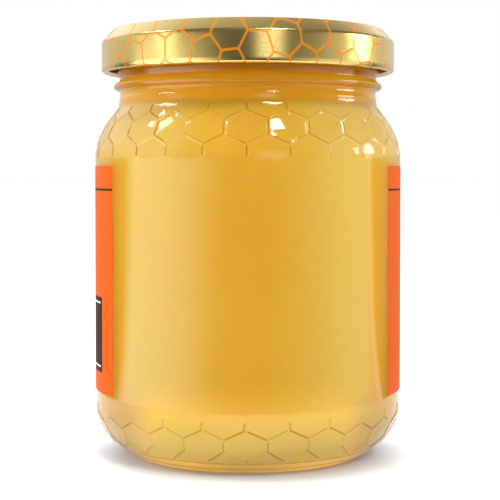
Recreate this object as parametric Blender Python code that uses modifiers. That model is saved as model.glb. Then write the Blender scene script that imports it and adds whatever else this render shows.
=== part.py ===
"""A half-kilo honey jar: glass embossed with two bands of honeycomb, honey, a gold screw lid and a label.

Metres, +Z up. The origin is on the jar's axis, in the plane that it stands on. The side without a label
faces -Y, and angles round the jar are measured from there towards +X.
"""

import math

import bmesh
import bpy

# Glass body, outside
BODY_RADIUS = 0.0386
BEARING_RING_WIDTH = 0.0018
PUSH_UP = 0.0016
HEEL_TOP = 0.0145
HEEL_RADIAL = 0.0185
HEEL_DEPTH = 0.0152
SHOULDER_START = 0.0745
SHOULDER_CORNER = 0.0800
SHOULDER_TOP = 0.0873
SHOULDER_TOP_RADIUS = 0.0330

# Neck, outside
NECK_FOOT_RADIUS = 0.0326
NECK_FOOT = 0.0888
NECK_RADIUS = 0.0324
BEAD_RADIUS = 0.03394
BEAD_ROUND = 0.00095
BEAD_FOOT = 0.0918
BEAD_CENTRE = 0.0929
BEAD_TOP = 0.0947
FINISH_RADIUS = 0.0330
FINISH_START = 0.0957
RIM_TOP = 0.1053
RIM_ROUND = 0.0010

# Glass inside
WALL = 0.0024
BASE_THICKNESS = 0.0036
BORE_RADIUS = 0.0298
BORE_START = 0.0885
INNER_DOME = 0.0008

# Honeycomb embossing: the heights of the corners of a row of upright cells, and of the stubs that leave them
CELLS_ROUND = 24
HONEYCOMB_PHASE = math.radians(-1.0)
RIB_RADIUS = 0.0006
RIB_SUNK = 0.0002
STUB_RADIUS = 0.00056
SHOULDER_CELLS = {"apex_top": 0.0857, "side_top": 0.0836, "side_bottom": 0.0800, "apex_bottom": 0.0777}
SHOULDER_STUBS = (("apex_top", 0.0868), ("apex_bottom", 0.0753))
HEEL_CELLS = {"apex_top": 0.0126, "side_top": 0.0102, "side_bottom": 0.0074, "apex_bottom": 0.0046}
HEEL_STUBS = (("apex_top", 0.0143),)

# Threads on the glass, which the lid's lugs screw under
THREADS = 4
THREAD_START = math.radians(38.0)
THREAD_SWEEP = math.radians(72.0)
THREAD_FOOT = 0.0990
THREAD_RISE = 0.0034
THREAD_RADIUS = 0.0010

# Honey and label
FIT_GAP = 0.0003
FILL_LEVEL = 0.0980
LABEL_LEFT_EDGE = math.radians(-56.5)
LABEL_RIGHT_EDGE = math.radians(60.1)
LABEL_BOTTOM = 0.0171
LABEL_TOP = 0.0729
LABEL_THICKNESS = 0.00025

# Lid
SHEET = 0.0003
LID_RADIUS = 0.03705
LID_BOTTOM = 0.0968
CURL_RADIUS = 0.0010
CORNER_RADIUS = 0.0023
LEDGE_HEIGHT = 0.1061
RING_OUTER_RADIUS = 0.0342
RING_INNER_RADIUS = 0.0318
RING_TOP = 0.1070
RING_ROUND = 0.0005
PANEL_RADIUS = 0.0305
PANEL_HEIGHT = 0.10575
LUGS = 4
LUG_ANGLE = math.radians(47.0)
LUG_SWEEP = math.radians(18.0)
LUG_DEPTH = 0.0016
LUG_RADIUS = 0.00093

# Facets: two to a cell, so that every corner of the honeycomb falls on an edge of the turned glass
FACETS_ROUND = 2 * CELLS_ROUND
FACET_ANGLE = math.tau / FACETS_ROUND


def clear_scene():
    for obj in list(bpy.data.objects):
        bpy.data.objects.remove(obj)


def collection_named(name):
    collection = bpy.data.collections.new(name)
    bpy.context.scene.collection.children.link(collection)
    return collection


def material(name, colour, roughness, metallic=0.0, transmission=0.0):
    made = bpy.data.materials.new(name)
    made.use_nodes = True
    shader = made.node_tree.nodes["Principled BSDF"]
    shader.inputs["Base Color"].default_value = (*colour, 1.0)
    shader.inputs["Roughness"].default_value = roughness
    shader.inputs["Metallic"].default_value = metallic
    shader.inputs["Transmission Weight"].default_value = transmission
    return made


def turn(radius, height, angle):
    """The point at a radius and height, an angle round the axis from -Y towards +X."""
    return (radius * math.sin(angle), -radius * math.cos(angle), height)


def arc(centre, radii, start, end, steps):
    """Points of an ellipse's arc, as (radius, height), between two angles in degrees."""
    points = []
    for i in range(steps + 1):
        angle = math.radians(start + (end - start) * i / steps)
        points.append((centre[0] + radii[0] * math.cos(angle), centre[1] + radii[1] * math.sin(angle)))
    return points


def bend(start, corner, end, steps):
    """Points of a smooth bend from start to end that leans towards corner."""
    points = []
    for i in range(steps + 1):
        t = i / steps
        weights = ((1 - t) ** 2, 2 * t * (1 - t), t ** 2)
        points.append(tuple(sum(w * p[k] for w, p in zip(weights, (start, corner, end))) for k in (0, 1)))
    return points


def shoulder_slope():
    """How far the top of the shoulder leans in for each metre that it climbs."""
    return (BODY_RADIUS - SHOULDER_TOP_RADIUS) / (SHOULDER_TOP - SHOULDER_CORNER)


def shoulder_outline(inset=0.0, steps=4):
    """The shoulder from the straight body up to its steepest lean, moved into the glass by an inset."""
    lean = math.atan(shoulder_slope())
    top = (SHOULDER_TOP_RADIUS - inset * math.cos(lean), SHOULDER_TOP - inset * math.sin(lean))
    foot = BODY_RADIUS - inset
    corner = top[1] - (foot - top[0]) / shoulder_slope()
    return bend((foot, SHOULDER_START), (foot, corner), top, steps)


def heel_outline():
    """The heel from the ring that the jar stands on up to the straight body."""
    centre = (BODY_RADIUS - HEEL_RADIAL, HEEL_TOP)
    start = -math.degrees(math.asin(HEEL_TOP / HEEL_DEPTH))
    return arc(centre, (HEEL_RADIAL, HEEL_DEPTH), start, 0.0, 4)


def neck_outline():
    """The fillet above the shoulder, the neck, its bead and the finish that takes the lid, up to the rim."""
    start = shoulder_outline()[-1]
    fillet = start[1] + (start[0] - NECK_FOOT_RADIUS) / shoulder_slope()
    bead = (BEAD_RADIUS - BEAD_ROUND, BEAD_CENTRE)
    rim = (FINISH_RADIUS - RIM_ROUND, RIM_TOP - RIM_ROUND)
    return [
        *bend(start, (NECK_FOOT_RADIUS, fillet), (NECK_FOOT_RADIUS, NECK_FOOT), 2)[1:],
        (NECK_RADIUS, BEAD_FOOT),
        *arc(bead, (BEAD_ROUND, BEAD_ROUND), -80.0, 25.0, 2),
        (NECK_RADIUS, BEAD_TOP),
        (FINISH_RADIUS, FINISH_START),
        *arc(rim, (RIM_ROUND, RIM_ROUND), 0.0, 90.0, 1),
    ]


def base_outline():
    """The underside, from the axis out to the inner edge of the ring that the jar stands on."""
    ring_inner = heel_outline()[0][0] - BEARING_RING_WIDTH
    return [(0.0, PUSH_UP), (ring_inner, 0.0)]


def inside_outline(clearance=0.0):
    """The jar's inside from the axis up to the bore, drawn in by a clearance."""
    inset = WALL + clearance
    floor = BASE_THICKNESS + clearance
    heel_centre = (BODY_RADIUS - HEEL_RADIAL, HEEL_TOP)
    return [
        (0.0, floor + INNER_DOME),
        *arc(heel_centre, (HEEL_RADIAL - inset, HEEL_TOP - floor), -90.0, 0.0, 4),
        *shoulder_outline(inset, 2),
        (BORE_RADIUS - clearance, BORE_START),
    ]


def turned(name, outline, made_of, collection, angle=math.tau, start=HONEYCOMB_PHASE):
    """An outline that runs down the outer side, turned round the axis from a start angle."""
    data = bpy.data.meshes.new(name)
    data.from_pydata([(r, 0.0, z) for r, z in outline], [(i, i + 1) for i in range(len(outline) - 1)], [])
    data.materials.append(made_of)
    obj = bpy.data.objects.new(name, data)
    obj.rotation_euler.z = start - 0.5 * math.pi
    collection.objects.link(obj)
    screw = obj.modifiers.new("turn", "SCREW")
    screw.angle = angle
    screw.steps = screw.render_steps = round(FACETS_ROUND * angle / math.tau)
    screw.use_merge_vertices = angle == math.tau
    screw.merge_threshold = 1e-6
    return obj


def thicken(obj, thickness, offset):
    shell = obj.modifiers.new("thickness", "SOLIDIFY")
    shell.thickness = thickness
    shell.offset = offset
    shell.use_even_offset = True


def tube(name, points, radius, collection, closed=False):
    """A closed mesh of a four-sided rod along some points, made from a curve with its caps welded on."""
    curve = bpy.data.curves.new(name, "CURVE")
    curve.dimensions = "3D"
    curve.bevel_depth = radius
    curve.bevel_resolution = 0
    curve.use_fill_caps = True
    spline = curve.splines.new("POLY")
    spline.points.add(len(points) - 1)
    spline.use_cyclic_u = closed
    for made, point in zip(spline.points, points):
        made.co = (*point, 1.0)
    guide = bpy.data.objects.new(name, curve)
    collection.objects.link(guide)
    bpy.context.view_layer.update()
    data = bpy.data.meshes.new_from_object(guide.evaluated_get(bpy.context.evaluated_depsgraph_get()))
    mesh = bmesh.new()
    mesh.from_mesh(data)
    bmesh.ops.remove_doubles(mesh, verts=mesh.verts, dist=1e-6)
    bmesh.ops.recalc_face_normals(mesh, faces=mesh.faces)
    mesh.to_mesh(data)
    mesh.free()
    solid = bpy.data.objects.new(name, data)
    solid.matrix_world = guide.matrix_world
    bpy.data.objects.remove(guide)
    collection.objects.link(solid)
    return solid


def join(obj, pieces):
    """Fuses a collection of pieces to an object and removes the pieces."""
    union = obj.modifiers.new("join", "BOOLEAN")
    union.operation = "UNION"
    union.operand_type = "COLLECTION"
    union.collection = pieces
    bpy.context.view_layer.update()
    data = bpy.data.meshes.new_from_object(obj.evaluated_get(bpy.context.evaluated_depsgraph_get()))
    obj.modifiers.clear()
    obj.data = data
    for piece in list(pieces.objects):
        bpy.data.objects.remove(piece)
    bpy.data.collections.remove(pieces)


def smooth(obj):
    obj.data.shade_smooth()
    obj.data.set_sharp_from_angle(angle=math.radians(35.0))


def radius_at(outline, height):
    """The outline's radius at a height, between points that climb."""
    for low, high in zip(outline, outline[1:]):
        if low[1] <= height <= high[1]:
            return low[0] + (high[0] - low[0]) * (height - low[1]) / (high[1] - low[1])
    return outline[-1][0]


def on_glass(outline, height, angle):
    """A point just under the outside of the glass, for a rib's centre line."""
    return turn(radius_at(outline, height) - RIB_SUNK, height, angle)


def add_zigzag(name, outline, apex, side, pieces):
    """A rib that runs round the glass, from each cell's apex to its side and on to the next apex."""
    points = []
    for i in range(FACETS_ROUND):
        height = side if i % 2 else apex
        points.append(on_glass(outline, height, HONEYCOMB_PHASE + i * FACET_ANGLE))
    tube(name, points, RIB_RADIUS, pieces, closed=True)


def add_uprights(name, outline, low, high, angle, radius, pieces):
    """A short upright rib, repeated once for each cell."""
    rib = tube(name, [on_glass(outline, height, angle) for height in (low, high)], radius, pieces)
    for number in range(1, CELLS_ROUND):
        copy = bpy.data.objects.new(f"{name}_{number}", rib.data)
        copy.rotation_euler.z = number * math.tau / CELLS_ROUND
        pieces.objects.link(copy)


def add_honeycomb(name, outline, cells, stubs, pieces):
    add_zigzag(f"{name}_top", outline, cells["apex_top"], cells["side_top"], pieces)
    add_zigzag(f"{name}_bottom", outline, cells["apex_bottom"], cells["side_bottom"], pieces)
    low, high = cells["side_bottom"], cells["side_top"]
    add_uprights(f"{name}_side", outline, low, high, HONEYCOMB_PHASE + FACET_ANGLE, STUB_RADIUS, pieces)
    for apex, end in stubs:
        low, high = sorted((cells[apex], end))
        add_uprights(f"{name}_{apex}_stub", outline, low, high, HONEYCOMB_PHASE, STUB_RADIUS, pieces)


def add_threads(pieces):
    """Four rounded threads that climb round the finish, with ends that run out into the glass."""
    steps = 6
    for number in range(THREADS):
        points = []
        for i in range(steps + 1):
            share = i / steps
            run_out = abs(2.0 * share - 1.0) ** 4
            angle = THREAD_START + number * math.tau / THREADS + share * THREAD_SWEEP
            radius = FINISH_RADIUS - run_out * THREAD_RADIUS
            points.append(turn(radius, THREAD_FOOT + share * THREAD_RISE, angle))
        tube(f"thread_{number}", points, THREAD_RADIUS, pieces)


def make_glass(glass, parts):
    rim = (BORE_RADIUS + RIM_ROUND, RIM_TOP - RIM_ROUND)
    lip = arc(rim, (RIM_ROUND, RIM_ROUND), 180.0, 90.0, 1)
    outside = [*base_outline(), *heel_outline(), *shoulder_outline(), *neck_outline()]
    jar = turned("jar", [*inside_outline(), *lip, *reversed(outside[:-1])], glass, parts)
    pieces = collection_named("relief")
    add_honeycomb("shoulder", shoulder_outline(), SHOULDER_CELLS, SHOULDER_STUBS, pieces)
    add_honeycomb("heel", heel_outline(), HEEL_CELLS, HEEL_STUBS, pieces)
    add_threads(pieces)
    join(jar, pieces)
    smooth(jar)


def make_honey(honey, parts):
    inside = inside_outline(FIT_GAP)
    turned("honey", [(0.0, FILL_LEVEL), (inside[-1][0], FILL_LEVEL), *reversed(inside)], honey, parts)


def make_label(paper, parts):
    """The paper label, a strip wrapped round the back of the body."""
    inner = BODY_RADIUS + FIT_GAP
    sweep = math.tau - (LABEL_RIGHT_EDGE - LABEL_LEFT_EDGE)
    strip = [(inner, LABEL_TOP), (inner, LABEL_BOTTOM)]
    label = turned("label", strip, paper, parts, angle=sweep, start=LABEL_RIGHT_EDGE)
    thicken(label, LABEL_THICKNESS, 1.0)


def lid_outline():
    """The outer surface of the lid's sheet, from the panel's centre out and down to the curled edge."""
    ring_outer = (RING_OUTER_RADIUS - RING_ROUND, RING_TOP - RING_ROUND)
    ring_inner = (RING_INNER_RADIUS + RING_ROUND, RING_TOP - RING_ROUND)
    corner = (LID_RADIUS - CORNER_RADIUS, LEDGE_HEIGHT - CORNER_RADIUS)
    curl = (LID_RADIUS - CURL_RADIUS, LID_BOTTOM + CURL_RADIUS)
    return [
        (0.0, PANEL_HEIGHT),
        (PANEL_RADIUS, PANEL_HEIGHT),
        *arc(ring_inner, (RING_ROUND, RING_ROUND), 150.0, 90.0, 1),
        *arc(ring_outer, (RING_ROUND, RING_ROUND), 90.0, 0.0, 1),
        (RING_OUTER_RADIUS, LEDGE_HEIGHT),
        *arc(corner, (CORNER_RADIUS, CORNER_RADIUS), 80.0, 0.0, 2),
        *arc(curl, (CURL_RADIUS, CURL_RADIUS), 0.0, -200.0, 3),
    ]


def add_lugs(pieces):
    """The stretches of the curled edge that are pressed inwards to catch the threads."""
    steps = 4
    for number in range(LUGS):
        points = []
        for i in range(steps + 1):
            share = i / steps
            radius = LID_RADIUS - CURL_RADIUS - LUG_DEPTH * math.sin(math.pi * share) ** 2
            angle = LUG_ANGLE + number * math.tau / LUGS + (share - 0.5) * LUG_SWEEP
            points.append(turn(radius, LID_BOTTOM + CURL_RADIUS, angle))
        tube(f"lug_{number}", points, LUG_RADIUS, pieces)


def make_lid(metal, parts):
    lid = turned("lid", lid_outline(), metal, parts)
    thicken(lid, SHEET, -1.0)
    pieces = collection_named("lugs")
    add_lugs(pieces)
    join(lid, pieces)
    smooth(lid)


def main():
    clear_scene()
    parts = collection_named("honey_jar")
    make_glass(material("clear_glass", (0.95, 0.96, 0.94), 0.03, transmission=1.0), parts)
    make_honey(material("honey", (0.79, 0.48, 0.10), 0.25), parts)
    make_label(material("orange_paper", (0.95, 0.20, 0.02), 0.5), parts)
    make_lid(material("gold_lacquer", (0.72, 0.58, 0.28), 0.25, metallic=1.0), parts)


main()
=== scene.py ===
"""The looks of a honey jar: embossed clear glass, set honey, a printed gold lid and a wrap-round label.

Metres, +Z up. Angles round the jar are measured from -Y, where the bare glass faces the camera, towards +X.
"""

import math

import bmesh
import bpy
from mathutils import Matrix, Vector
from mathutils.geometry import delaunay_2d_cdt, intersect_point_line


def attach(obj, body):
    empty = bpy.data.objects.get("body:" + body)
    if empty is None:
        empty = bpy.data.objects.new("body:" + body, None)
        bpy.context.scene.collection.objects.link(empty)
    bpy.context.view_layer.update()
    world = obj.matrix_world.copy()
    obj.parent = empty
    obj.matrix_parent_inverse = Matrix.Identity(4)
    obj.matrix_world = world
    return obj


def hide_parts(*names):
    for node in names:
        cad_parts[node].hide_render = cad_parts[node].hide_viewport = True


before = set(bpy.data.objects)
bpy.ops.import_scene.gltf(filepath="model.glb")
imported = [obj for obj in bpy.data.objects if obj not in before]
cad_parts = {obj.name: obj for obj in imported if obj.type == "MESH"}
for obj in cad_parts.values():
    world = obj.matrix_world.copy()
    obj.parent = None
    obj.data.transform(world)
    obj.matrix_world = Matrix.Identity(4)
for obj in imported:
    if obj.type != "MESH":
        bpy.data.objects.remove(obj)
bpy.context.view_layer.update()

BODY = "root"

# Glass, outside
BODY_RADIUS = 0.0386
BEARING_RING_WIDTH = 0.0018
PUSH_UP = 0.0016
HEEL_TOP = 0.0145
HEEL_RADIAL = 0.0185
HEEL_DEPTH = 0.0160
FOOT_TOP = 0.0034
FOOT_MIDDLE = 0.0016
FOOT_GROOVE = 0.00030
SHOULDER_START = 0.0745
SHOULDER_CORNER = 0.0800
SHOULDER_TOP = 0.0873
SHOULDER_TOP_RADIUS = 0.0330
NECK_FOOT_RADIUS = 0.0326
NECK_FOOT = 0.0888
NECK_RADIUS = 0.0324
NECK_START = 0.0899
BEAD_RADIUS = 0.03394
BEAD_ROUND = 0.00095
BEAD_CENTRE = 0.0929
BEAD_TOP = 0.0947
FINISH_RADIUS = 0.0330
FINISH_START = 0.0957
RIM_TOP = 0.1053
RIM_ROUND = 0.0010

# Glass, inside
WALL = 0.0024
BASE_THICKNESS = 0.0036
BORE_RADIUS = 0.0298
BORE_START = 0.0885
INNER_DOME = 0.0008

# Honeycomb embossing
CELLS_ROUND = 24
HALF_CELL = math.pi / CELLS_ROUND
HONEYCOMB_PHASE = math.radians(-0.85)
UNEVEN_CELLS = math.radians(1.65)
CELL_LEAN = math.radians(3.0)
RIB_HEIGHT = 0.00026
RIB_HALF_WIDTH = 0.00052
RIB_STEP = 0.00036
RIB_OFFSETS = (0.0, 0.35, -0.35, 0.7, -0.7, 1.1, -1.1)
LEAST_SPACING = 0.00012
CELL_SPACING = 0.0011
UNEVEN_START = 0.020
UNEVEN_RISE = 0.050
LEAST_UNEVEN = 0.25
LEAN_START = 0.0785
LEAN_RISE = 0.0070
# Heights of half a cell's corners: upper stub's top, apex, side's top and bottom, lower apex and stub's foot
SHOULDER_CELL = (0.0871, 0.0856, 0.0835, 0.0799, 0.0776, 0.0752)
HEEL_CELL = (0.0136, 0.0120, 0.0097, 0.0069, 0.0040, 0.0040)
# Painted shade on the ribs' flanks, in place of the dark lines that the ribs' bent light throws on the
# honey: its least share, how much more the shaded side has, the way that side faces, and the angles round
# the jar, in degrees, between which the other side is shaded
FLANK_BASE = 0.45
FLANK_CONTRAST = 0.7
FLANK_WAY = (0.8, 0.6)
LEFT_FLANKS = (-33.0, -3.0)

# Painted shade of the foot: its lower edge, grooves and flutes
EDGE_SHADE_HEIGHT = 0.0014
GROOVE_SHADE = 0.8
FLUTE_SHADE = 0.55
FLUTE_MIDDLE = 0.0021
FINE_SHADE_HEIGHT = 0.0004

# Threads and knurls
THREADS = 4
THREAD_START = math.radians(38.0)
THREAD_SWEEP = math.radians(72.0)
THREAD_FOOT = 0.0990
THREAD_RISE = 0.0034
THREAD_HEIGHT = 0.0010
THREAD_HALF_WIDTH = 0.0011
KNURL_HEIGHT = 0.00012
FLUTE_DEPTH = 0.00006

# Honey
INTO_WALL = 0.00005
FILL_LEVEL = 0.0980

# Label
LABEL_LEFT_EDGE = math.radians(-57.3)
LABEL_RIGHT_EDGE = math.radians(61.4)
LABEL_BOTTOM = 0.0171
LABEL_TOP = 0.0729
LABEL_THICKNESS = 0.00009
LABEL_GAP = 0.00002

# Lid
SHEET = 0.00025
LID_RADIUS = 0.03698
LID_BOTTOM = 0.0963
CURL_RADIUS = 0.0009
CORNER_RADIUS = 0.0010
CORNER_HEIGHT = 0.1046
RING_OUTER_RADIUS = 0.0345
RING_INNER_RADIUS = 0.0318
RING_TOP = 0.1070
RING_ROUND = 0.0005
PANEL_RADIUS = 0.0305
PANEL_HEIGHT = 0.10575
LUGS = 4
LUG_ANGLE = math.radians(47.0)
LUG_SWEEP = math.radians(18.0)
LUG_DEPTH = 0.0016
LID_COLUMNS = 384

# Printed honeycomb of the lid, drawn on the flat sheet before the lid was pressed
PRINT_SIDE = 0.00448
PRINT_TURN = math.radians(28.8)
PRINT_SHIFT = (-0.00366, 0.00155)
PRINT_CORNER_RADIUS = 0.03716
PRINT_STRETCH = 0.918
PRINT_SKIRT_TOP = 0.1040
PRINT_BEND = 0.003
PRINT_HALF_WIDTH = 0.00028
UNPRINTED_RADIUS = 0.06

# Camera
CAMERA_DISTANCE = 0.3501
CAMERA_HEIGHT = 0.0706
CAMERA_LENS = 98.76
CAMERA_PITCH = math.radians(1.56)
CAMERA_SHIFT = (0.0043, -0.0747)


def turn(radius, height, angle):
    """The point at a radius and height, an angle round the axis from -Y towards +X."""
    return Vector((radius * math.sin(angle), -radius * math.cos(angle), height))


def arc(centre, radii, start, end, steps):
    """Points of an ellipse's arc, as (radius, height), between two angles in degrees."""
    points = []
    for i in range(steps + 1):
        angle = math.radians(start + (end - start) * i / steps)
        points.append((centre[0] + radii[0] * math.cos(angle), centre[1] + radii[1] * math.sin(angle)))
    return points


def bend(start, corner, end, steps):
    """Points of a smooth bend from start to end that leans towards corner."""
    points = []
    for i in range(steps + 1):
        t = i / steps
        weights = ((1 - t) ** 2, 2 * t * (1 - t), t ** 2)
        points.append(tuple(sum(w * p[k] for w, p in zip(weights, (start, corner, end))) for k in (0, 1)))
    return points


def mould_angle(angle, height):
    """An even angle round the jar, moved to where the mould's slightly uneven cells put it."""
    angle = (angle + math.pi) % math.tau - math.pi
    if angle > 0.0:
        return angle + CELL_LEAN * math.sin(angle) * min(1.0, max(0.0, (height - LEAN_START) / LEAN_RISE))
    if angle > -math.tau / 3:
        share = min(1.0, LEAST_UNEVEN + max(0.0, (height - UNEVEN_START) / UNEVEN_RISE))
        angle += UNEVEN_CELLS * (1.0 - math.cos(3.0 * angle)) * share
    return angle


def soft_bump(share):
    """A rounded bump: 1 at share 0, falling smoothly to 0 at shares of 1 and beyond."""
    return 0.5 + 0.5 * math.cos(math.pi * min(abs(share), 1.0))


def heel_outline(steps):
    """The heel from the top of the foot up to the straight body."""
    start = -math.degrees(math.asin((HEEL_TOP - FOOT_TOP) / HEEL_DEPTH))
    return arc((BODY_RADIUS - HEEL_RADIAL, HEEL_TOP), (HEEL_RADIAL, HEEL_DEPTH), start, 0.0, steps)


def foot_bead(low, high, steps):
    """A rounded bead of the foot between two fine grooves, under the heel's curve."""
    points = []
    for i in range(steps + 1):
        height = low + (high - low) * i / steps
        reach = math.sqrt(1.0 - ((HEEL_TOP - height) / HEEL_DEPTH) ** 2)
        groove = FOOT_GROOVE * (1.0 - math.sin(math.pi * i / steps))
        points.append((BODY_RADIUS - HEEL_RADIAL * (1.0 - reach) - groove, height))
    return points


def shoulder_slope():
    """How far the top of the shoulder leans in for each metre that it climbs."""
    return (BODY_RADIUS - SHOULDER_TOP_RADIUS) / (SHOULDER_TOP - SHOULDER_CORNER)


def shoulder_curve(inset, steps):
    """The shoulder from the straight body up to its steepest lean, moved into the glass by an inset."""
    lean = math.atan(shoulder_slope())
    top = (SHOULDER_TOP_RADIUS - inset * math.cos(lean), SHOULDER_TOP - inset * math.sin(lean))
    foot = BODY_RADIUS - inset
    corner = top[1] - (foot - top[0]) / shoulder_slope()
    return bend((foot, SHOULDER_START), (foot, corner), top, steps)


def shoulder_outline(steps):
    """The shoulder and the fillet under the neck."""
    curve = shoulder_curve(0.0, steps)
    fillet = SHOULDER_TOP + (SHOULDER_TOP_RADIUS - NECK_FOOT_RADIUS) / shoulder_slope()
    return curve + bend(curve[-1], (NECK_FOOT_RADIUS, fillet), (NECK_FOOT_RADIUS, NECK_FOOT), steps // 4)[1:]


def base_outline():
    """The underside from the axis out to the ring that the jar stands on."""
    ring_inner = foot_bead(0.0, FOOT_MIDDLE, 1)[0][0] - BEARING_RING_WIDTH
    hollow = [(ring_inner * t / 8, PUSH_UP * math.cos(0.5 * math.pi * t / 8)) for t in range(8)]
    return hollow + [(ring_inner, 0.0)]


def neck_outline():
    bead = (BEAD_RADIUS - BEAD_ROUND, BEAD_CENTRE)
    foot = (NECK_FOOT_RADIUS, NECK_START - 0.0008)
    return [
        *bend(foot, (NECK_FOOT_RADIUS, NECK_START), (NECK_RADIUS, NECK_START), 4),
        *bend((NECK_RADIUS, BEAD_CENTRE - 1.6 * BEAD_ROUND), (NECK_RADIUS, BEAD_CENTRE - 0.9 * BEAD_ROUND),
              (BEAD_RADIUS - 0.9 * BEAD_ROUND, BEAD_CENTRE - 0.95 * BEAD_ROUND), 4),
        *arc(bead, (BEAD_ROUND, BEAD_ROUND), -75.0, 35.0, 10),
        *bend((NECK_RADIUS + 0.0005, BEAD_CENTRE + 1.2 * BEAD_ROUND), (NECK_RADIUS, BEAD_TOP - 0.0004),
              (NECK_RADIUS + 0.0001, BEAD_TOP + 0.0002), 5),
    ]


def finish_outline():
    """The part that takes the lid's lugs, rows close enough together for the threads."""
    top = RIM_TOP - RIM_ROUND
    rows = [(FINISH_RADIUS, FINISH_START + (top - FINISH_START) * i / 30) for i in range(30)]
    return rows + arc((FINISH_RADIUS - RIM_ROUND, top), (RIM_ROUND, RIM_ROUND), 0.0, 90.0, 6)


def inside_outline(inset=WALL, bore=BORE_RADIUS, floor=BASE_THICKNESS):
    """The jar's inside, from the axis up to the bore."""
    centre = (BODY_RADIUS - HEEL_RADIAL, HEEL_TOP)
    heel = arc(centre, (HEEL_RADIAL - inset, HEEL_TOP - floor), -90.0, 0.0, 24)
    shoulder = shoulder_curve(inset, 16)
    dome = [(centre[0] * t / 6, floor + INNER_DOME * math.cos(0.5 * math.pi * t / 6) ** 2) for t in range(6)]
    end = shoulder[-1]
    throat = bend(end, (bore, end[1] + (end[0] - bore) / shoulder_slope()), (bore, BORE_START), 6)[1:]
    return dome + heel + shoulder + throat


# Points nearer than this become one, and edges shorter than the second are taken out
WELD_DISTANCE = 2e-6
LEAST_EDGE = 1e-7


class Turned:
    """A mesh of turned rows and patches that share their border points."""

    def __init__(self):
        self.mesh = bmesh.new()
        # Painted shade: a share from 0 to 1 that tints the glass dark amber on the ribs' flanks and at the
        # foot
        self.painted_shade = self.mesh.verts.layers.float.new("rib_painted_shade")

    def ring(self, radius, height, columns, shape=None, shade=0.0):
        if radius == 0.0:
            return [self.mesh.verts.new((0.0, 0.0, height))]
        made = []
        for i in range(columns):
            angle = HONEYCOMB_PHASE + math.tau * i / columns
            place = shape(radius, height, angle) if shape else (radius, height)
            made.append(self.mesh.verts.new(turn(*place, mould_angle(angle, place[1]))))
            made[-1][self.painted_shade] = shade
        return made

    def rows(self, outline, columns, shape=None, shade=lambda height: 0.0):
        """Rows between the points of an outline. A point on the axis closes the surface."""
        rings = [self.ring(*point, columns, shape, shade(point[1])) for point in outline]
        for lower, upper in zip(rings, rings[1:]):
            self.strip(lower, upper)

    def strip(self, lower, upper):
        """Faces between two rings, one of which may be a single point or have twice the points."""
        most = max(len(lower), len(upper))
        for i in range(most):
            j = (i + 1) % most
            corners = []
            for ring, order in ((lower, (i, j)), (upper, (j, i))):
                corners += [ring[k * len(ring) // most] for k in order]
            unique = list(dict.fromkeys(corners))
            self.mesh.faces.new(unique)

    def finish(self, name):
        bmesh.ops.remove_doubles(self.mesh, verts=self.mesh.verts, dist=WELD_DISTANCE)
        bmesh.ops.dissolve_degenerate(self.mesh, edges=self.mesh.edges, dist=LEAST_EDGE)
        bmesh.ops.recalc_face_normals(self.mesh, faces=self.mesh.faces)
        data = bpy.data.meshes.new(name)
        self.mesh.to_mesh(data)
        self.mesh.free()
        data.shade_smooth()
        obj = bpy.data.objects.new(name, data)
        bpy.context.scene.collection.objects.link(obj)
        return obj


def with_lengths(outline):
    """Adds to each (radius, height) its distance along the outline."""
    profile = [(*outline[0], 0.0)]
    for point in outline[1:]:
        profile.append((*point, profile[-1][2] + math.dist(point, profile[-1][:2])))
    return profile


def place_along(profile, length):
    """The point at a length along a profile, and the outward direction there, each as (radius, height)."""
    index = 0
    while index < len(profile) - 2 and length > profile[index + 1][2]:
        index += 1
    low, high = profile[index], profile[index + 1]
    t = (length - low[2]) / (high[2] - low[2])
    point = [low[k] + t * (high[k] - low[k]) for k in (0, 1)]
    run = high[2] - low[2]
    return point, ((high[1] - low[1]) / run, (low[0] - high[0]) / run)


def length_at_height(profile, height):
    for low, high in zip(profile, profile[1:]):
        if low[1] <= height <= high[1]:
            return low[2] + (high[2] - low[2]) * (height - low[1]) / (high[1] - low[1])
    return profile[-1][2]


def cell_ridges(cell, profile, width):
    """Ridge lines of half a cell on a flat sheet: x across from the apex line, y along the profile."""
    corners = [length_at_height(profile, height) for height in cell]
    stub_top, apex_top, side_top, side_bottom, apex_bottom, stub_bottom = corners
    ridges = [
        ((0.0, stub_top), (0.0, apex_top)),
        ((0.0, apex_top), (width, side_top)),
        ((width, side_top), (width, side_bottom)),
        ((width, side_bottom), (0.0, apex_bottom)),
        ((0.0, apex_bottom), (0.0, stub_bottom)),
    ]
    return [(Vector(a), Vector(b)) for a, b in ridges if a != b]


def rib_share(point, ridges):
    """How far a point is from the nearest ridge line, from 0 on it to 1 off the rib, and which way."""
    nearest = RIB_HALF_WIDTH
    way = Vector((0.0, 0.0))
    for a, b in ridges:
        foot, share = intersect_point_line(point, a, b)
        foot = a if share < 0 else b if share > 1 else foot.to_2d()
        if (point - foot).length < nearest:
            way = point - foot
            nearest = way.length
    return nearest / RIB_HALF_WIDTH, way.normalized() if nearest > 1e-7 else Vector((0.0, 0.0))


def flank_shade(way, side, angle, height):
    """Painted shade on a rib's flank for the way that it faces on the flat sheet, in place of the dark lines
    that the ribs' bent light throws on the honey.
    """
    degrees = math.degrees((angle + math.pi) % math.tau - math.pi)
    if height < 2.0 * HEEL_TOP:
        across = -1.0 if degrees < 0.0 else 1.0
    else:
        across = -1.0 if LEFT_FLANKS[0] < degrees < LEFT_FLANKS[1] else 1.0
    facing = FLANK_WAY[0] * across * side * way.x + FLANK_WAY[1] * way.y
    return min(1.0, max(0.0, FLANK_BASE + FLANK_CONTRAST * facing))


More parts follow.
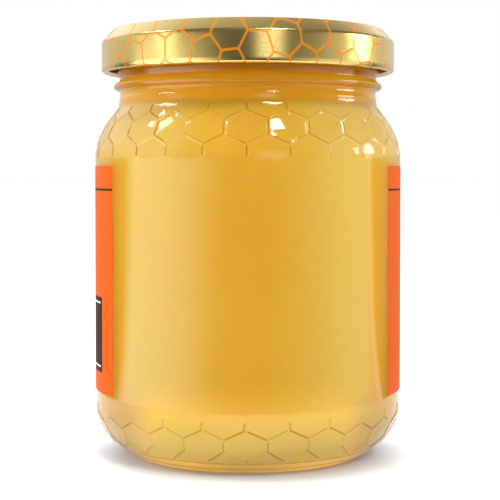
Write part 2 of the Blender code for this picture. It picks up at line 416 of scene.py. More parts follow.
def foot_shade(height):
    """Painted shade of the foot's glass: dark at its lower edge, in its grooves and on its flutes, where the
    glass bends light.
    """
    edge = soft_bump(height / EDGE_SHADE_HEIGHT)
    nearest = min(abs(height - groove) for groove in (FOOT_MIDDLE, FOOT_TOP))
    grooves = GROOVE_SHADE * soft_bump(nearest / FINE_SHADE_HEIGHT)
    flutes = FLUTE_SHADE * soft_bump((height - FLUTE_MIDDLE) / FINE_SHADE_HEIGHT)
    return max(edge, grooves, flutes)


def sheet_points(ridges, width, top):
    """Points that follow the ribs, then a loose grid between them, kept a least distance apart."""
    wanted = []
    for a, b in ridges:
        along = (b - a).normalized()
        side = Vector((-along.y, along.x)) * RIB_HALF_WIDTH
        steps = max(2, round((b - a).length / RIB_STEP))
        for offset in RIB_OFFSETS:
            wanted += [a.lerp(b, i / steps) + side * offset for i in range(-2, steps + 3)]
    columns = max(2, round(width / CELL_SPACING))
    rows = round(top / CELL_SPACING)
    for i in range(columns + 1):
        wanted += [Vector((width * i / columns, top * j / rows)) for j in range(rows + 1)]
    return wanted


def half_cell_sheet(cell, outline, columns):
    """Half a cell's strip of the band as flat triangles: (across share, length, share of rib), and faces."""
    profile = with_lengths(outline)
    width = HALF_CELL * sum(r for r, _ in outline) / len(outline)
    top = profile[-1][2]
    ridges = cell_ridges(cell, profile, width)
    up = max(2, round(top / RIB_STEP))
    border = [Vector((width * i / columns, 0.0)) for i in range(columns)]
    border += [Vector((width, top * i / up)) for i in range(up)]
    border += [Vector((width * (1 - i / columns), top)) for i in range(columns)]
    border += [Vector((0.0, top * (1 - i / up))) for i in range(up)]
    points = list(border)
    taken = {}
    for point in sheet_points(ridges, width, top):
        margin = 0.6 * LEAST_SPACING
        if not (margin < point.x < width - margin and margin < point.y < top - margin):
            continue
        key = (int(point.x / LEAST_SPACING), int(point.y / LEAST_SPACING))
        near = [taken.get((key[0] + i, key[1] + j)) for i in (-1, 0, 1) for j in (-1, 0, 1)]
        if any(other is not None and (other - point).length < LEAST_SPACING for other in near):
            continue
        taken[key] = point
        points.append(point)
    edges = [(i, (i + 1) % len(border)) for i in range(len(border))]
    flat, _, faces, *_ = delaunay_2d_cdt(points, edges, [], 1, 1e-6)
    return [(p.x / width, p.y, rib_share(p, ridges)) for p in flat], faces, profile


def add_band(turned, cell, outline, columns):
    """An embossed band right round the jar, from mirrored pairs of half cells."""
    sheet, faces, profile = half_cell_sheet(cell, outline, columns)
    raised = []
    for share, length, rib in sheet:
        (radius, height), out = place_along(profile, length)
        rise = RIB_HEIGHT * soft_bump(rib[0])
        raised.append((share, radius + rise * out[0], height + rise * out[1], rib))
    for number in range(CELLS_ROUND):
        for side in (1, -1):
            made = []
            for share, radius, height, (rib, way) in raised:
                angle = HONEYCOMB_PHASE + (2 * number + side * share) * HALF_CELL
                vert = turned.mesh.verts.new(turn(radius, height, mould_angle(angle, height)))
                # The rib's flank and the foot take painted shade, stored on each point
                painted_shade = math.sin(math.pi * rib) * flank_shade(way, side, angle, height)
                vert[turned.painted_shade] = max(painted_shade, foot_shade(height))
                made.append(vert)
            for face in faces:
                turned.mesh.faces.new([made[i] for i in (face if side == 1 else face[::-1])])


def threaded(radius, height, angle):
    """The finish with its four threads: rounded ridges that climb to the right."""
    rise = 0.0
    for number in range(THREADS):
        start = THREAD_START + number * math.tau / THREADS
        share = ((angle - start) % math.tau) / THREAD_SWEEP
        if share < 1.0:
            centre = THREAD_FOOT + share * THREAD_RISE
            ends = min(1.0, 8.0 * share, 8.0 * (1.0 - share))
            bump = soft_bump((height - centre) / THREAD_HALF_WIDTH) * soft_bump(1.0 - ends)
            rise = max(rise, THREAD_HEIGHT * bump)
    return radius + rise, height


def knurled(radius, height, angle):
    """The ring that the jar stands on, with its small radial knurls."""
    count = round((angle - HONEYCOMB_PHASE) / math.tau * 576)
    return radius, height + KNURL_HEIGHT * (count % 2)


def fluted(radius, height, angle):
    """The foot's upper bead with its fine upright flutes."""
    count = round((angle - HONEYCOMB_PHASE) / math.tau * 1152)
    return radius - FLUTE_DEPTH * (count % 2), height


def add_fine_rows(turned, outline, around, times, shape):
    """Rows with more columns between two plain ones, for a shape finer than the rest of the glass."""
    inner = range(1, len(outline) - 1)
    rings = []
    for i, point in enumerate(outline):
        if i in inner:
            rings.append(turned.ring(*point, around * times, shape, foot_shade(point[1])))
        else:
            rings.append(turned.ring(*point, around, None, foot_shade(point[1])))
    for lower, upper in zip(rings, rings[1:]):
        turned.strip(lower, upper)


def make_glass(glass):
    turned = Turned()
    columns = 6
    around = 2 * CELLS_ROUND * columns
    base = base_outline()
    heel = heel_outline(48)
    shoulder = shoulder_outline(40)
    turned.rows(base, around)
    lower_bead = foot_bead(0.0, FOOT_MIDDLE, 8)
    upper_bead = foot_bead(FOOT_MIDDLE, FOOT_TOP, 12)
    ring = [(base[-1][0] + BEARING_RING_WIDTH * t, 0.0) for t in (0.0, 0.15, 0.35, 0.65, 0.85, 1.0)]
    add_fine_rows(turned, ring, around, 2, knurled)
    turned.rows(lower_bead, around, None, foot_shade)
    add_fine_rows(turned, upper_bead[:7], around, 4, fluted)
    turned.rows([*upper_bead[6:], heel[0]], around, None, foot_shade)
    add_band(turned, HEEL_CELL, heel, columns)
    body = [(BODY_RADIUS, heel[-1][1] + (SHOULDER_START - heel[-1][1]) * i / 24) for i in range(25)]
    turned.rows(body, around)
    add_band(turned, SHOULDER_CELL, shoulder, columns)
    turned.rows([shoulder[-1], *neck_outline(), (FINISH_RADIUS, FINISH_START)], around)
    finish = finish_outline()
    turned.rows(finish, around, threaded)
    top = RIM_TOP - RIM_ROUND
    lip = arc((BORE_RADIUS + RIM_ROUND, top), (RIM_ROUND, RIM_ROUND), 90.0, 180.0, 6)
    turned.rows([finish[-1], *lip, *reversed(inside_outline())], around)
    jar = turned.finish("jar_glass")
    jar.data.materials.append(glass)
    jar.visible_shadow = False
    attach(jar, BODY)
    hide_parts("jar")


def make_honey(honey):
    turned = Turned()
    bore = BORE_RADIUS + INTO_WALL
    inside = inside_outline(WALL - INTO_WALL, bore, BASE_THICKNESS - INTO_WALL)
    top = [(bore, FILL_LEVEL), (0.6 * BORE_RADIUS, FILL_LEVEL), (0.0, FILL_LEVEL)]
    turned.rows([*inside, *top], 192)
    fill = turned.finish("honey_fill")
    fill.data.set_sharp_from_angle(angle=math.radians(50.0))
    fill.data.materials.append(honey)
    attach(fill, BODY)
    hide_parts("honey")


def lid_outline():
    """The lid's outer side, from its centre to the end of its curl, as (radius, height, lug share)."""
    ring_outer = (RING_OUTER_RADIUS - RING_ROUND, RING_TOP - RING_ROUND)
    ring_inner = (RING_INNER_RADIUS + RING_ROUND, RING_TOP - RING_ROUND)
    corner = (LID_RADIUS - CORNER_RADIUS, CORNER_HEIGHT - CORNER_RADIUS)
    curl = (LID_RADIUS - CURL_RADIUS, LID_BOTTOM + CURL_RADIUS)
    skirt = [(LID_RADIUS, corner[1] + (curl[1] - corner[1]) * i / 12) for i in range(1, 12)]
    outline = [
        *[(PANEL_RADIUS * t / 10, PANEL_HEIGHT) for t in range(10)],
        *bend((PANEL_RADIUS - 0.0004, PANEL_HEIGHT), (PANEL_RADIUS + 0.0005, PANEL_HEIGHT),
              (RING_INNER_RADIUS - 0.0001, RING_TOP - 2 * RING_ROUND), 6),
        *arc(ring_inner, (RING_ROUND, RING_ROUND), 165.0, 90.0, 7),
        *arc(ring_outer, (RING_ROUND, RING_ROUND), 90.0, 52.0, 6),
        *arc(corner, (CORNER_RADIUS, CORNER_RADIUS), 52.0, 0.0, 8),
        *skirt,
    ]
    rows = [(*point, 0.0) for point in outline]
    curled = arc(curl, (CURL_RADIUS, CURL_RADIUS), 0.0, -250.0, 20)
    return rows + [(*point, soft_bump(1.0 - i / 14)) for i, point in enumerate(curled)]


def offset_outline(outline, thickness):
    """The other side of the sheet: each point moved along the outline's inward normal."""
    moved = []
    for i, (radius, height, share) in enumerate(outline):
        before = outline[max(i - 1, 0)]
        after = outline[min(i + 1, len(outline) - 1)]
        run = math.dist(before[:2], after[:2])
        normal = ((after[1] - before[1]) / run, (before[0] - after[0]) / run)
        inner = max(0.0, radius + thickness * normal[0]) if radius else 0.0
        moved.append((inner, height + thickness * normal[1], share))
    return moved


def flat_radius(outline):
    """Each outline point's distance from the centre in the flat sheet that the print was drawn on."""
    lengths = with_lengths([point[:2] for point in outline])
    skirt = min(lengths, key=lambda point: abs(point[0] - LID_RADIUS) + abs(point[1] - PRINT_SKIRT_TOP))[2]
    radii = []
    for radius, height, length in lengths:
        beyond = length - skirt
        radii.append(PRINT_CORNER_RADIUS + PRINT_STRETCH * beyond if beyond > -PRINT_BEND else radius)
    return radii


def lid_ring(mesh, radius, height, lug_share):
    """A row of the lid's points, pressed in at the lugs, or its one point on the axis."""
    if radius < 1e-9:
        return [mesh.verts.new((0.0, 0.0, height))]
    ring = []
    for i in range(LID_COLUMNS):
        angle = math.tau * i / LID_COLUMNS
        nearest = (angle - LUG_ANGLE + math.pi / LUGS) % (math.tau / LUGS) - math.pi / LUGS
        press = LUG_DEPTH * lug_share * soft_bump(2.0 * nearest / LUG_SWEEP)
        ring.append(mesh.verts.new(turn(radius - press, height, angle)))
    return ring


def lid_face(mesh, sheet, rows, rings, flat_radii, column):
    """One face between two rows, with its corners' places on the flat sheet."""
    corners = []
    for row, i in ((rows[0], column), (rows[0], column + 1), (rows[1], column + 1), (rows[1], column)):
        vert = rings[row][i % len(rings[row])]
        if vert not in [corner[0] for corner in corners]:
            corners.append((vert, turn(flat_radii[row], 0.0, math.tau * i / LID_COLUMNS)))
    face = mesh.faces.new([vert for vert, _ in corners])
    for loop, (_, place) in zip(face.loops, corners):
        loop[sheet].uv = (place.x, place.y)


def make_lid(lacquer):
    mesh = bmesh.new()
    sheet = mesh.loops.layers.uv.new("flat_sheet")
    outer = lid_outline()
    inner = offset_outline(outer, SHEET)
    flat_radii = flat_radius(outer) + [UNPRINTED_RADIUS] * len(inner)
    rings = [lid_ring(mesh, *point) for point in [*outer, *reversed(inner)]]
    for row in range(len(rings) - 1):
        for column in range(LID_COLUMNS):
            lid_face(mesh, sheet, (row, row + 1), rings, flat_radii, column)
    bmesh.ops.recalc_face_normals(mesh, faces=mesh.faces)
    data = bpy.data.meshes.new("lid_cap")
    mesh.to_mesh(data)
    mesh.free()
    data.shade_smooth()
    data.set_sharp_from_angle(angle=math.radians(60.0))
    data.materials.append(lacquer)
    lid = bpy.data.objects.new("lid_cap", data)
    bpy.context.scene.collection.objects.link(lid)
    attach(lid, BODY)
    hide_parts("lid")


# Label's print, in metres along the label from its left end and up from its foot
LINE_BOTTOM = 0.04975
LINE_TOP = 0.05025
PANEL_START = 0.0067
PANEL_END = 0.0560
PANEL_BOTTOM = 0.0051
PANEL_TOP = 0.0236
TRIM_START = 0.0081
TRIM_INSET = 0.0012
TRIM_WIDTH = 0.0004
TRIM_MARGIN = 0.0014
EMBLEM_OFFSET = 0.006
EMBLEM_HEIGHT = 0.0262
EMBLEM_SIZES = (0.0195, 0.0188, 0.0172)
CELL_STEP = 0.0062
CELL_SIZE = 0.0032
ROW_STEP = 0.866
CLUSTER_INSET = 0.030
CLUSTER_HEIGHT = 0.0150
CLUSTER_STEP = 0.0061
CLUSTER_ROW = 0.00528
CLUSTER_SIZES = (0.0031, 0.0027)
ORANGE, DARK, WHITE, CREAM = range(4)


def hexagon(centre, size):
    """A hexagon that stands on a corner."""
    corners = []
    for k in range(6):
        angle = math.pi / 6 + math.tau * k / 6
        corners.append(Vector((centre[0] + size * math.cos(angle), centre[1] + size * math.sin(angle))))
    return corners


def box_outline(left, bottom, right, top):
    return [Vector(p) for p in ((left, bottom), (right, bottom), (right, top), (left, top))]


def inside_polygon(point, polygon):
    inside = False
    for a, b in zip(polygon, polygon[1:] + polygon[:1]):
        if (a.y > point.y) != (b.y > point.y):
            crossing = a.x + (b.x - a.x) * (point.y - a.y) / (b.y - a.y)
            inside = inside != (point.x < crossing)
    return inside


def label_shapes(length):
    """The label's printed shapes as (outline, colour), later ones on top: bands, panels and hexagons."""
    emblem = (0.5 * length + EMBLEM_OFFSET, EMBLEM_HEIGHT)
    trim_end = PANEL_END - TRIM_MARGIN
    trim_top = PANEL_TOP - TRIM_INSET
    trim_bottom = PANEL_BOTTOM + TRIM_INSET
    shapes = [
        (box_outline(0.0, LINE_BOTTOM, length, LINE_TOP), DARK),
        (box_outline(PANEL_START, PANEL_BOTTOM, PANEL_END, PANEL_TOP), DARK),
        (box_outline(TRIM_START, trim_top - TRIM_WIDTH, trim_end, trim_top), WHITE),
        (box_outline(TRIM_START, trim_bottom, trim_end, trim_bottom + TRIM_WIDTH), WHITE),
        *[(hexagon(emblem, size), colour) for size, colour in zip(EMBLEM_SIZES, (WHITE, ORANGE, CREAM))],
    ]
    for column, row in ((-1, 0), (0, 0), (1, 0), (-0.5, 1), (0.5, 1), (-0.5, -1), (0.5, -1)):
        centre = (emblem[0] + column * CELL_STEP, emblem[1] + row * CELL_STEP * ROW_STEP)
        shapes.append((hexagon(centre, CELL_SIZE), ORANGE if row else DARK))
    for number in range(6):
        row = number // 3
        across = length - CLUSTER_INSET - CLUSTER_STEP * (number % 3 + 0.5 * row)
        centre = (across, CLUSTER_HEIGHT + row * CLUSTER_ROW)
        shapes.append((hexagon(centre, CLUSTER_SIZES[0]), WHITE))
        shapes.append((hexagon(centre, CLUSTER_SIZES[1]), ORANGE))
    return shapes


def make_label(inks):
    sweep = math.tau - (LABEL_RIGHT_EDGE - LABEL_LEFT_EDGE)
    radius = BODY_RADIUS + LABEL_GAP
    length = sweep * radius
    height = LABEL_TOP - LABEL_BOTTOM
    shapes = label_shapes(length)
    points = []
    edges = []
    for outline in [box_outline(0.0, 0.0, length, height)] + [shape for shape, _ in shapes]:
        first = len(points)
        points += outline
        edges += [(first + i, first + (i + 1) % len(outline)) for i in range(len(outline))]
    columns = 160
    for i in range(1, columns):
        points += [Vector((length * i / columns, 0.0)), Vector((length * i / columns, height))]
        edges.append((len(points) - 2, len(points) - 1))
    flat, _, faces, *_ = delaunay_2d_cdt(points, edges, [], 1, 1e-7)
    mesh = bmesh.new()
    sides = []
    for out in (radius, radius + LABEL_THICKNESS):
        places = [turn(out, LABEL_BOTTOM + p.y, LABEL_LEFT_EDGE - p.x / radius) for p in flat]
        sides.append([mesh.verts.new(place) for place in places])
    for face in faces:
        centre = sum((flat[i] for i in face), Vector((0.0, 0.0))) / len(face)
        ink = ORANGE
        for outline, colour in shapes:
            if inside_polygon(centre, outline):
                ink = colour
        mesh.faces.new([sides[0][i] for i in face])
        mesh.faces.new([sides[1][i] for i in reversed(face)]).material_index = ink
    mesh.edges.ensure_lookup_table()
    rim = [edge for edge in mesh.edges if len(edge.link_faces) == 1]
    bmesh.ops.bridge_loops(mesh, edges=rim)
    bmesh.ops.recalc_face_normals(mesh, faces=mesh.faces)
    data = bpy.data.meshes.new("wrap_label")
    mesh.to_mesh(data)
    mesh.free()
    data.shade_smooth()
    data.set_sharp_from_angle(angle=math.radians(40.0))
    for ink in inks:
        data.materials.append(ink)
    label = bpy.data.objects.new("wrap_label", data)
    label.visible_shadow = False
    bpy.context.scene.collection.objects.link(label)
    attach(label, BODY)
    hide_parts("label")


# Colours as red, green, blue and alpha
GLASS_CLEAR = (0.97, 0.985, 0.975, 1.0)
# Dark amber tint of the glass's painted shade
GLASS_PAINTED_SHADE = (0.46, 0.27, 0.12, 1.0)
HONEY_MIDDLE = (0.755, 0.465, 0.042, 1.0)
HONEY_CLOUD = (0.785, 0.495, 0.052, 1.0)
# Painted light on the honey's sides, shoulders and heel, and painted shade beside the label and at the
# heel's sides
HONEY_SIDES_PAINTED_LIGHT = (0.765, 0.555, 0.078, 1.0)
HONEY_SHOULDERS_PAINTED_LIGHT = (0.79, 0.56, 0.15, 1.0)
HONEY_PAINTED_LABEL_SHADOW = (0.82, 0.46, 0.038, 1.0)
HONEY_HEEL_PAINTED_LIGHT = (1.0, 0.66, 0.105, 1.0)
HONEY_HEEL_SIDES_PAINTED_SHADE = (0.66, 0.42, 0.085, 1.0)
# Honey of the neck in painted light and shade: lighter low in the neck, deeper amber at the bead, then
# darker under the lid. From each height to the next the colour turns into the one named
HONEY_NECK_PAINTED_LIGHT_AND_SHADE = (
    (0.0872, 0.0888, (0.97, 0.48, 0.020, 1.0)),
    (0.0925, 0.0945, (0.97, 0.38, 0.006, 1.0)),
    (0.0950, 0.0968, (0.58, 0.23, 0.004, 1.0)),
)
GOLD_DEEP = (0.88, 0.64, 0.17, 1.0)
GOLD_PALE = (0.92, 0.68, 0.21, 1.0)
LID_INK = (0.74, 0.24, 0.0, 1.0)
FLOOR_TONES = ((0.945, 0.945, 0.955, 1.0), (0.955, 0.955, 0.965, 1.0))
# Painted cool tint near the jar, against the honey's warm bounce light
FLOOR_PAINTED_COOL = (0.88, 0.94, 1.0, 1.0)
# Painted contact shadow round the jar's foot
FLOOR_PAINTED_SHADOW = (0.20, 0.23, 0.30, 1.0)
FLOOR_HALF_SIZE = 12.0


class Nodes:
    """Short ways to add and join a material's or the world's nodes."""

    def __init__(self, tree):
        self.tree = tree

    def add(self, kind, inputs=None, **settings):
        node = self.tree.nodes.new(kind)
        for name, value in settings.items():
            setattr(node, name, value)
        for key, value in (inputs or {}).items():
            self.put(value, node.inputs[key])
        return node

    def put(self, value, socket):
        if isinstance(value, bpy.types.NodeSocket):
            self.tree.links.new(value, socket)
        else:
            socket.default_value = value

    def math(self, operation, *values):
        node = self.add("ShaderNodeMath", operation=operation)
        for value, socket in zip(values, node.inputs):
            self.put(value, socket)
        return node.outputs[0]

    def blend(self, share, a, b):
        kept = self.math("MULTIPLY", a, self.math("SUBTRACT", 1.0, share))
        return self.math("ADD", kept, self.math("MULTIPLY", b, share))

    def vector(self, operation, *values, out=0):
        node = self.add("ShaderNodeVectorMath", operation=operation)
        for value, socket in zip(values, node.inputs):
            self.put(value, socket)
        return node.outputs[out]

    def smooth(self, value, low, high, start=0.0, end=1.0):
        inputs = {"Value": value, "From Min": low, "From Max": high, "To Min": start, "To Max": end}
        return self.add("ShaderNodeMapRange", inputs, interpolation_type="SMOOTHSTEP").outputs[0]

    def mix_colour(self, share, a, b):
        node = self.add("ShaderNodeMix", data_type="RGBA")
        for value, socket in ((share, node.inputs[0]), (a, node.inputs[6]), (b, node.inputs[7])):
            self.put(value, socket)
        return node.outputs[2]

    def noise(self, vector, scale, detail=2.0, roughness=0.5):
        inputs = {"Vector": vector, "Scale": scale, "Detail": detail, "Roughness": roughness}
        return self.add("ShaderNodeTexNoise", inputs).outputs["Fac"]


def new_material(name, colour, roughness, **sockets):
    """A Principled material and its nodes. Socket names are given with underscores for spaces."""
    made = bpy.data.materials.new(name)
    made.use_nodes = True
    shader = made.node_tree.nodes["Principled BSDF"]
    shader.inputs["Base Color"].default_value = (*colour, 1.0)
    shader.inputs["Roughness"].default_value = roughness
    for key, value in sockets.items():
        shader.inputs[key.replace("_", " ")].default_value = value
    return made, Nodes(made.node_tree), shader


def glass_material():
    made, nodes, shader = new_material("clear_glass", GLASS_CLEAR[:3], 0.0, IOR=1.5, Transmission_Weight=1.0)
    # Painted shade: the glass tinted dark amber on the ribs' flanks and at the foot
    painted_shade = nodes.add("ShaderNodeAttribute", attribute_name="rib_painted_shade").outputs["Fac"]
    painted_shade_tint = nodes.mix_colour(nodes.smooth(painted_shade, 0.15, 0.85), GLASS_CLEAR, GLASS_PAINTED_SHADE)
    nodes.put(painted_shade_tint, shader.inputs["Base Color"])
    place = nodes.add("ShaderNodeTexCoord").outputs["Object"]
    waves = nodes.noise(place, 60.0, 1.0)
    bump = nodes.add("ShaderNodeBump", {"Strength": 0.15, "Distance": 0.0004, "Height": waves})
    nodes.put(bump.outputs[0], shader.inputs["Normal"])
    return made


def honey_material():
    made, nodes, shader = new_material(
        "set_honey", HONEY_MIDDLE[:3], 0.6,
        Subsurface_Weight=1.0, Subsurface_Scale=0.002, Specular_IOR_Level=0.0)
    shader.inputs["Subsurface Radius"].default_value = (1.0, 0.6, 0.15)
    place = nodes.add("ShaderNodeTexCoord").outputs["Object"]
    split = nodes.add("ShaderNodeSeparateXYZ", {"Vector": place}).outputs
    across = nodes.math("ABSOLUTE", split[0])
    height = split[2]
    cloud = nodes.smooth(nodes.noise(place, 45.0, 4.0), 0.35, 0.7)
    colour = nodes.mix_colour(cloud, HONEY_MIDDLE, HONEY_CLOUD)
    # Painted light: the honey paler towards its sides, where the side lamps fall
    colour = nodes.mix_colour(nodes.smooth(across, 0.004, 0.027), colour, HONEY_SIDES_PAINTED_LIGHT)
    # Painted light on the sides of the shoulders
    above = nodes.smooth(height, 0.0725, 0.0775)
    shoulder_light_mask = nodes.math("MULTIPLY", nodes.smooth(across, 0.008, 0.026), above)
    colour = nodes.mix_colour(shoulder_light_mask, colour, HONEY_SHOULDERS_PAINTED_LIGHT)
    # Painted shade: deeper amber beside the label's edges, where the label shades the honey
    below = nodes.smooth(height, 0.071, 0.077, 1.0, 0.0)
    label_shadow_mask = nodes.math("MULTIPLY", nodes.smooth(across, 0.0265, 0.0298), below)
    colour = nodes.mix_colour(label_shadow_mask, colour, HONEY_PAINTED_LABEL_SHADOW)
    # Painted light: the heel lighter, as if lit from the floor, with painted shade towards its sides
    heel = nodes.mix_colour(nodes.smooth(across, 0.020, 0.030), HONEY_HEEL_PAINTED_LIGHT, HONEY_HEEL_SIDES_PAINTED_SHADE)
    colour = nodes.mix_colour(nodes.smooth(height, 0.010, 0.024, 1.0, 0.0), colour, heel)
    # Painted light and shade in the neck, darkest under the lid
    for low, high, upper in HONEY_NECK_PAINTED_LIGHT_AND_SHADE:
        colour = nodes.mix_colour(nodes.smooth(height, low, high), colour, upper)
    nodes.put(colour, shader.inputs["Base Color"])
    return made


def hexagon_edge_distance(nodes, place, side):
    """Distance from each point of a plane to the nearest line of a honeycomb whose cells have that side."""
    pitch = (math.sqrt(3.0) * side, 3.0 * side, 1.0)
    half = tuple(0.5 * p for p in pitch[:2]) + (0.0,)
    best = None
    for shift in ((0.0, 0.0), half):
        shifted = nodes.vector("ADD", place, (shift[0] + 100.0 * pitch[0], shift[1] + 100.0 * pitch[1], 0.0))
        inside = nodes.vector("SUBTRACT", nodes.vector("MODULO", shifted, pitch), half)
        inside = nodes.vector("MULTIPLY", inside, (1.0, 1.0, 0.0))
        inside = nodes.vector("ABSOLUTE", inside)
        slanted = nodes.vector("DOT_PRODUCT", inside, (0.5, math.sqrt(0.75), 0.0), out=1)
        across = nodes.vector("DOT_PRODUCT", inside, (1.0, 0.0, 0.0), out=1)
        reach = nodes.math("MAXIMUM", slanted, across)
        best = reach if best is None else nodes.math("MINIMUM", best, reach)
    return nodes.math("SUBTRACT", 0.5 * math.sqrt(3.0) * side, best)


def lacquer_material():
    made, nodes, shader = new_material(
        "gold_lacquer", GOLD_PALE[:3], 0.22,
        Metallic=1.0, Coat_Weight=0.45, Coat_Roughness=0.16, Coat_IOR=1.8)
    flat = nodes.add("ShaderNodeUVMap", uv_map="flat_sheet").outputs[0]
    moved = nodes.vector("SUBTRACT", flat, (*PRINT_SHIFT, 0.0))
    inputs = {"Vector": moved, "Angle": -PRINT_TURN}
    turned = nodes.add("ShaderNodeVectorRotate", inputs, rotation_type="Z_AXIS").outputs[0]
    distance = hexagon_edge_distance(nodes, turned, PRINT_SIDE)
    ink = nodes.smooth(distance, PRINT_HALF_WIDTH - 0.00006, PRINT_HALF_WIDTH + 0.00006, 1.0, 0.0)
    place = nodes.add("ShaderNodeTexCoord").outputs["Object"]
    grain = nodes.noise(place, 2600.0, 3.0, 0.7)
    broad = nodes.noise(place, 90.0, 2.0)
    gold = nodes.mix_colour(nodes.smooth(broad, 0.3, 0.7), GOLD_DEEP, GOLD_PALE)
    colour = nodes.mix_colour(ink, gold, LID_INK)
    nodes.put(colour, shader.inputs["Base Color"])
    nodes.put(nodes.math("SUBTRACT", 1.0, nodes.math("MULTIPLY", ink, 0.6)), shader.inputs["Metallic"])
    nodes.put(nodes.smooth(grain, 0.2, 0.8, 0.15, 0.25), shader.inputs["Roughness"])
    bump = nodes.add("ShaderNodeBump", {"Strength": 0.25, "Distance": 0.00003, "Height": grain})
    nodes.put(bump.outputs[0], shader.inputs["Normal"])
    return made


def ink_material(name, colour, roughness):
    made, nodes, shader = new_material(name, colour, roughness, Specular_IOR_Level=0.05)
    place = nodes.add("ShaderNodeTexCoord").outputs["Object"]
    fibre = nodes.noise(place, 1800.0, 4.0, 0.6)
    darker = (*(0.96 * c for c in colour), 1.0)
    lighter = (*(min(1.0, 1.03 * c) for c in colour), 1.0)
    nodes.put(nodes.mix_colour(nodes.smooth(fibre, 0.3, 0.7), darker, lighter), shader.inputs["Base Color"])
    bump = nodes.add("ShaderNodeBump", {"Strength": 0.15, "Distance": 0.00003, "Height": fibre})
    nodes.put(bump.outputs[0], shader.inputs["Normal"])
    return made


def make_floor():
    signs = ((-1, -1), (1, -1), (1, 1), (-1, 1))
    data = bpy.data.meshes.new("floor")
    data.from_pydata([(x * FLOOR_HALF_SIZE, y * FLOOR_HALF_SIZE, 0.0) for x, y in signs], [], [(0, 1, 2, 3)])
    floor = bpy.data.objects.new("floor", data)
    bpy.context.scene.collection.objects.link(floor)
    made, nodes, shader = new_material("white_floor", FLOOR_TONES[1][:3], 0.6, Specular_IOR_Level=0.2)
    place = nodes.add("ShaderNodeTexCoord").outputs["Object"]
    tone = nodes.mix_colour(nodes.noise(place, 30.0), *FLOOR_TONES)
    from_axis = nodes.vector("LENGTH", place, out=1)
    # Painted cool tint near the jar, cancelling the honey's warm bounce light
    tone = nodes.mix_colour(nodes.smooth(from_axis, 0.035, 0.075, 1.0, 0.0), tone, FLOOR_PAINTED_COOL)
    # Painted contact shadow on the floor round the jar's foot
    shade = nodes.smooth(from_axis, 0.029, 0.042, 0.47, 0.0)
    nodes.put(nodes.mix_colour(shade, tone, FLOOR_PAINTED_SHADOW), shader.inputs["Base Color"])
    data.materials.append(made)


# Studio light. The side towards the camera is dim, the side behind the jar is bright.
HORIZON_FRONT = 0.13
HORIZON_BACK = 0.70
CEILING_FRONT = 0.18
CEILING_BACK = 1.2
# Bright strips above the horizon: azimuth from -Y towards +X, half width in degrees, brightness
STRIPS = ((-65.0, 9.0, 1.0), (17.0, 10.0, 1.6), (99.0, 6.0, 1.8))
# Ring of card on the floor, and the low horizon behind it
CARD_START = 0.12
CARD_END = 200.0
CARD_HEIGHT = 0.0005
LEFT_GLOW = 2.3
RIGHT_GLOW = 0.9
STREAK_GLOW = 0.5
STREAK_AZIMUTH = 101.0
LIGHT_TARGET = Vector((0.0, 0.0, 0.07))


def azimuth_of(nodes, direction):
    split = nodes.add("ShaderNodeSeparateXYZ", {"Vector": direction}).outputs
    back = nodes.math("MULTIPLY", split[1], -1.0)
    return nodes.math("MULTIPLY", nodes.math("ARCTAN2", split[0], back), 180.0 / math.pi), split


def low_glow(nodes, azimuth):
    """Brightness of the card and the low horizon: pale card at the left and right, dim in front."""
    left_end = nodes.smooth(azimuth, -62.0, -10.0, LEFT_GLOW, 0.0)
    left = nodes.math("MULTIPLY", nodes.smooth(azimuth, -104.0, -88.0), left_end)
    right_end = nodes.smooth(azimuth, 99.0, 107.0, RIGHT_GLOW, 0.0)
    right = nodes.math("MULTIPLY", nodes.smooth(azimuth, 12.0, 72.0), right_end)
    off = nodes.math("ABSOLUTE", nodes.math("SUBTRACT", azimuth, STREAK_AZIMUTH))
    streak = nodes.smooth(off, 1.5, 4.0, STREAK_GLOW, 0.0)
    back = nodes.smooth(nodes.math("ABSOLUTE", azimuth), 105.0, 140.0, 0.08, 0.6)
    return nodes.math("ADD", nodes.math("ADD", left, right), nodes.math("ADD", streak, back))


def make_world():
    world = bpy.data.worlds.new("studio")
    bpy.context.scene.world = world
    world.use_nodes = True
    nodes = Nodes(world.node_tree)
    azimuth, split = azimuth_of(nodes, nodes.add("ShaderNodeTexCoord").outputs["Generated"])
    level = nodes.smooth(nodes.math("ABSOLUTE", azimuth), 45.0, 95.0, HORIZON_FRONT, HORIZON_BACK)
    for middle, half_width, strength in STRIPS:
        off = nodes.math("ABSOLUTE", nodes.math("SUBTRACT", azimuth, middle))
        strip = nodes.smooth(off, 0.4 * half_width, 1.5 * half_width, strength, 0.0)
        level = nodes.math("ADD", level, strip)
    low = low_glow(nodes, azimuth)
    level = nodes.blend(nodes.smooth(split[2], 0.035, 0.075), low, level)
    rightwards = nodes.math("MULTIPLY", nodes.math("MAXIMUM", split[0], 0.0), 0.9)
    back = nodes.math("SUBTRACT", split[1], rightwards)
    ceiling = nodes.smooth(back, -0.2, 0.9, CEILING_FRONT, CEILING_BACK)
    level = nodes.blend(nodes.smooth(split[2], 0.16, 0.40), level, ceiling)
    seen = nodes.add("ShaderNodeLightPath").outputs["Is Camera Ray"]
    shown = nodes.math("ADD", nodes.math("MULTIPLY", level, nodes.math("SUBTRACT", 1.0, seen)), seen)
    background = world.node_tree.nodes["Background"]
    background.inputs["Color"].default_value = (1.0, 1.0, 1.0, 1.0)
    nodes.put(shown, background.inputs["Strength"])


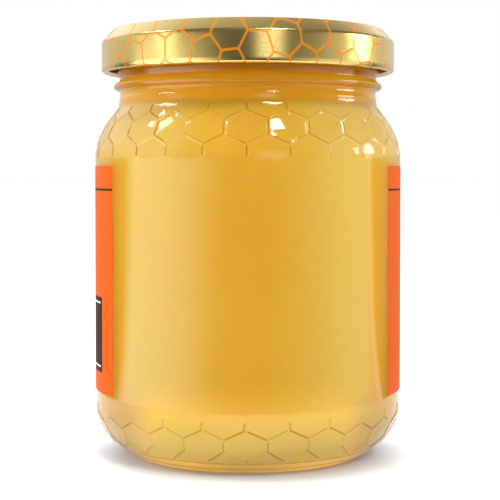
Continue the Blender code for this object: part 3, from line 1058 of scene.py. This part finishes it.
def make_floor_card():
    """A ring of card on the floor round the jar, which only reflections see, to keep the glass clear."""
    mesh = bmesh.new()
    steps = 96
    rings = []
    for radius in (CARD_START, CARD_END):
        rings.append([mesh.verts.new(turn(radius, CARD_HEIGHT, math.tau * i / steps)) for i in range(steps)])
    for i in range(steps):
        j = (i + 1) % steps
        mesh.faces.new([rings[0][i], rings[1][i], rings[1][j], rings[0][j]])
    data = bpy.data.meshes.new("floor_card")
    mesh.to_mesh(data)
    mesh.free()
    card = bpy.data.objects.new("floor_card", data)
    bpy.context.scene.collection.objects.link(card)
    made = bpy.data.materials.new("glowing_card")
    made.use_nodes = True
    nodes = Nodes(made.node_tree)
    made.node_tree.nodes.remove(made.node_tree.nodes["Principled BSDF"])
    azimuth, _ = azimuth_of(nodes, nodes.add("ShaderNodeTexCoord").outputs["Object"])
    emission = nodes.add("ShaderNodeEmission", {"Strength": low_glow(nodes, azimuth)})
    nodes.put(emission.outputs[0], made.node_tree.nodes["Material Output"].inputs["Surface"])
    data.materials.append(made)
    for ray in ("camera", "diffuse", "transmission", "shadow", "volume_scatter"):
        setattr(card, f"visible_{ray}", False)


def add_light(name, azimuth, elevation, distance, width, height, radiance, reflected=True):
    """A softbox that faces the jar. Its power gives the wanted brightness for its size."""
    data = bpy.data.lights.new(name, "AREA")
    data.shape = "RECTANGLE"
    data.size = width
    data.size_y = height
    data.energy = radiance * math.pi * width * height
    light = bpy.data.objects.new(name, data)
    bpy.context.scene.collection.objects.link(light)
    up = math.radians(elevation)
    flat = turn(math.cos(up), math.sin(up), math.radians(azimuth))
    light.location = LIGHT_TARGET + distance * flat
    light.rotation_euler = (-flat).to_track_quat("-Z", "Y").to_euler()
    light.visible_camera = False
    light.visible_transmission = False
    light.visible_glossy = reflected
    return light


def make_lights():
    add_light("front_umbrella", 28.0, 56.0, 0.9, 0.16, 0.20, 22.0)
    add_light("left_softbox", -92.0, 44.0, 1.0, 0.27, 0.20, 10.0)
    add_light("right_softbox", 96.0, 13.0, 1.0, 0.38, 0.16, 7.0)
    add_light("left_fill", -72.0, 12.0, 1.2, 0.8, 0.8, 4.1, reflected=False)
    add_light("right_fill", 72.0, 12.0, 1.2, 0.8, 0.8, 1.6, reflected=False)
    add_light("front_fill", 0.0, 12.0, 1.4, 0.9, 0.6, 1.5, reflected=False)
    under = add_light("under_glow", 0.0, 90.0, 1.0, 0.05, 0.05, 0.9, reflected=False)
    under.data.color = (1.0, 0.74, 0.42)
    under.location = (0.0, 0.0, 0.0004)
    under.rotation_euler = (math.pi, 0.0, 0.0)
    data = bpy.data.lights.new("overhead_fill", "SUN")
    data.energy = 2.2
    data.angle = math.radians(100.0)
    overhead = bpy.data.objects.new("overhead_fill", data)
    overhead.visible_glossy = False
    overhead.visible_transmission = False
    bpy.context.scene.collection.objects.link(overhead)


def make_camera():
    data = bpy.data.cameras.new("camera")
    data.sensor_width = 36.0
    data.lens = CAMERA_LENS
    data.shift_x, data.shift_y = CAMERA_SHIFT
    data.clip_start = 0.01
    data.clip_end = 50.0
    camera = bpy.data.objects.new("camera", data)
    bpy.context.scene.collection.objects.link(camera)
    camera.location = (0.0, -CAMERA_DISTANCE, CAMERA_HEIGHT)
    camera.rotation_euler = (0.5 * math.pi - CAMERA_PITCH, 0.0, 0.0)
    bpy.context.scene.camera = camera


def main():
    bpy.context.scene.view_settings.view_transform = "Standard"
    make_camera()
    make_floor()
    make_world()
    make_floor_card()
    make_lights()
    make_glass(glass_material())
    make_honey(honey_material())
    make_lid(lacquer_material())
    inks = [
        ink_material("orange_paper", (0.62, 0.092, 0.002), 0.42),
        ink_material("dark_ink", (0.030, 0.010, 0.006), 0.40),
        ink_material("white_ink", (0.88, 0.87, 0.85), 0.42),
        ink_material("cream_ink", (0.86, 0.74, 0.50), 0.42),
    ]
    make_label(inks)


main()
